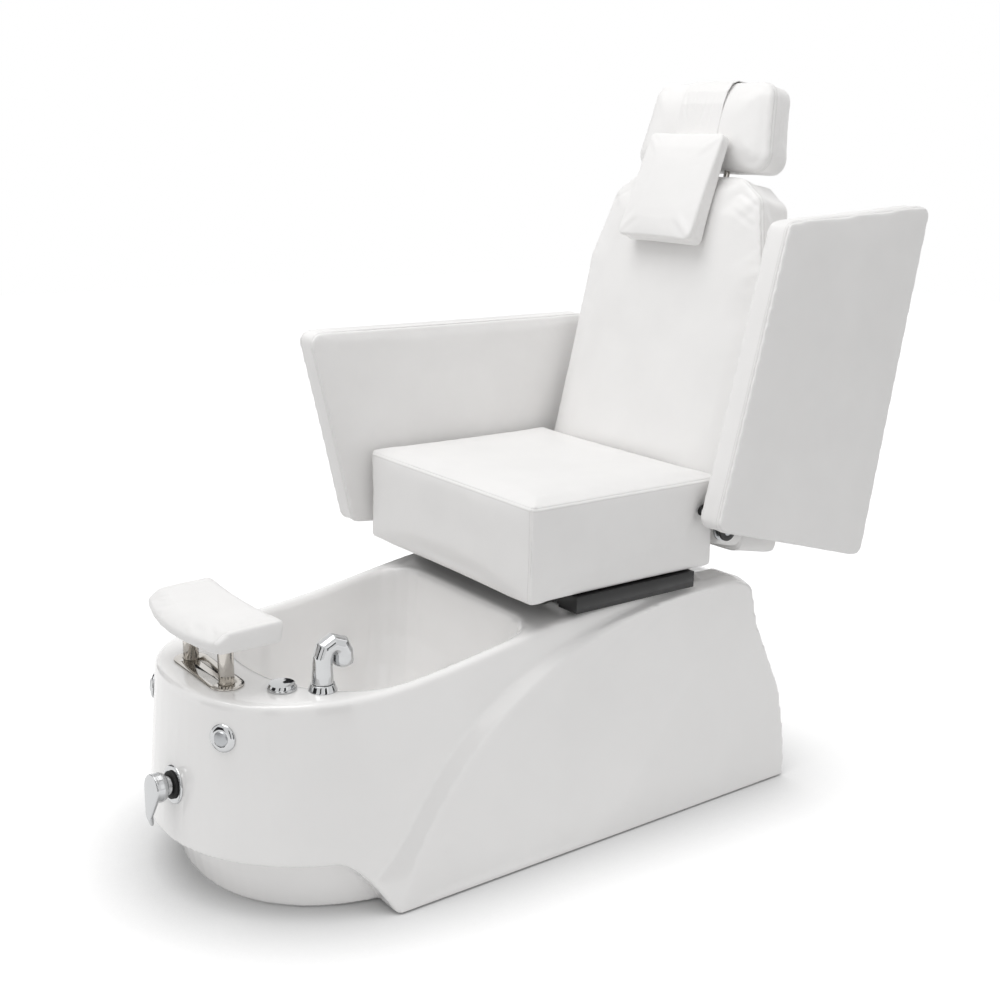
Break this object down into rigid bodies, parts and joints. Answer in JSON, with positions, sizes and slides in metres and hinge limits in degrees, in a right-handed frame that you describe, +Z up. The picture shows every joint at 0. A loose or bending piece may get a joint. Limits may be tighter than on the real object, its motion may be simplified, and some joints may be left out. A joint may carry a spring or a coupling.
{
  "type": "pedicure spa chair with foot basin",
  "caption": "White pedicure spa chair: a moulded foot basin with footrest, handset and mixer, under a sliding, reclining seat with lift-up arms, headrest and neck pillow",
  "frame": {"origin": "The middle of the chair's width and length, on the floor that its feet stand on.", "axes": "+X is the sitter's left, +Y points to the backrest, +Z is up; the sitter faces -Y."},
  "size_m": [0.7, 1.5406, 1.3902],
  "materials": {
    "gel_coat": "gloss",
    "white_leatherette": "satin",
    "chrome_trim": "polished",
    "polished_steel": "polished",
    "zinc_steel": "satin",
    "black_steel": "satin",
    "black_rubber": "matte",
    "black_plastic": "matte",
    "plywood": "matte",
    "brass": "satin",
    "motor_grey": "satin"
  },
  "bodies": {
    "base": {"base_shell": "gel_coat", "foot_basin": "gel_coat", "rear_panel": "gel_coat", "panel_screws": "zinc_steel", "frame_skids": "black_steel", "frame_legs": "black_steel", "frame_beams": "black_steel", "basin_cradles": "black_steel", "levelling_feet": "black_rubber", "drain_flange": "chrome_trim", "drain_trap": "gel_coat", "jet_fitting": "gel_coat", "jet_cover": "black_plastic", "jet_motor": "motor_grey", "drain_knob_seat": "chrome_trim", "shower_flange": "chrome_trim", "air_switches": "chrome_trim", "mixer_plate": "chrome_trim", "mixer_gasket": "black_rubber", "mixer_valve": "brass", "footrest_plate": "polished_steel", "slide_rails": "zinc_steel"},
    "plug": {"drain_plug": "chrome_trim"},
    "impeller": {"jet_impeller": "black_plastic"},
    "knob": {"drain_knob": "chrome_trim"},
    "handset": {"shower_handset": "chrome_trim"},
    "button_right": {"air_button_right": "chrome_trim"},
    "button_left": {"air_button_left": "chrome_trim"},
    "lever": {"mixer_lever": "chrome_trim"},
    "footrest": {"footrest_posts": "polished_steel", "footrest_pad": "white_leatherette"},
    "seat": {"seat_carriage": "black_steel", "seat_board": "plywood", "seat_cushion": "white_leatherette", "hinge_plates": "black_steel", "hinge_bolts": "chrome_trim", "arm_pins": "chrome_trim"},
    "backrest": {"back_ears": "zinc_steel", "back_cushion": "white_leatherette", "back_housing": "white_leatherette", "rod_sleeves": "black_plastic"},
    "headrest": {"headrest_rods": "polished_steel", "headrest_cushion": "white_leatherette", "pillow_strap": "white_leatherette"},
    "pillow": {"neck_pillow": "white_leatherette"},
    "counterweight": {"strap_weight": "white_leatherette"},
    "arm_left": {"arm_hub_left": "zinc_steel", "arm_pad_left": "white_leatherette"},
    "arm_right": {"arm_hub_right": "zinc_steel", "arm_pad_right": "white_leatherette"}
  },
  "joints": [
    {"name": "seat_slide", "type": "slide", "parent": "base", "child": "seat", "axis": [0, 1, 0], "range_m": [0, 0.1]},
    {"name": "back_recline", "type": "hinge", "parent": "seat", "child": "backrest", "pos_m": [0, 0.326, 0.543], "axis": [-1, 0, 0], "range_deg": [0, 20]},
    {"name": "headrest_lift", "type": "slide", "parent": "backrest", "child": "headrest", "axis": [0, 0.2079, 0.9781], "range_m": [0, 0.05]},
    {"name": "pillow_lift", "type": "slide", "parent": "headrest", "child": "pillow", "axis": [0, 0.2079, 0.9781], "range_m": [0, 0.04]},
    {"name": "counterweight_drop", "type": "slide", "parent": "headrest", "child": "counterweight", "axis": [0, 0.2079, 0.9781], "range_m": [-0.04, 0]},
    {"name": "arm_left_lift", "type": "hinge", "parent": "seat", "child": "arm_left", "pos_m": [-0.3, 0.361, 0.589], "axis": [-1, 0, 0], "range_deg": [0, 100]},
    {"name": "arm_right_lift", "type": "hinge", "parent": "seat", "child": "arm_right", "pos_m": [0.3, 0.361, 0.589], "axis": [-1, 0, 0], "range_deg": [-100, 0]},
    {"name": "footrest_lift", "type": "slide", "parent": "base", "child": "footrest", "axis": [0, 0, 1], "range_m": [0, 0.04]},
    {"name": "mixer_turn", "type": "hinge", "parent": "base", "child": "lever", "pos_m": [0.026, -0.7218, 0.197], "axis": [0.0687, -0.9938, 0.0879], "range_deg": [0, 100]},
    {"name": "drain_knob_turn", "type": "hinge", "parent": "base", "child": "knob", "pos_m": [0.138, -0.569, 0.374], "axis": [0, 0, 1], "range_deg": [0, 90]},
    {"name": "drain_plug_lift", "type": "slide", "parent": "base", "child": "plug", "axis": [0, 0, 1], "range_m": [0, 0.009]},
    {"name": "handset_pull", "type": "slide", "parent": "base", "child": "handset", "axis": [0, 0, 1], "range_m": [0, 0.06]},
    {"name": "air_button_right_press", "type": "slide", "parent": "base", "child": "button_right", "axis": [-0.5131, 0.8538, -0.0879], "range_m": [0, 0.003], "stiffness_N_per_m": 700, "springref_m": -0.001},
    {"name": "air_button_left_press", "type": "slide", "parent": "base", "child": "button_left", "axis": [0.5131, 0.8538, -0.0879], "range_m": [0, 0.003], "stiffness_N_per_m": 700, "springref_m": -0.001},
    {"name": "jet_spin", "type": "hinge", "parent": "base", "child": "impeller", "pos_m": [0, -0.126, 0.225], "axis": [0, -0.9659, 0.2588], "continuous": true}
  ],
  "couplings": [
    {"joint": "drain_plug_lift", "follows": "drain_knob_turn", "m_per_rad": 0.005},
    {"joint": "counterweight_drop", "follows": "pillow_lift", "ratio": -1}
  ]
}
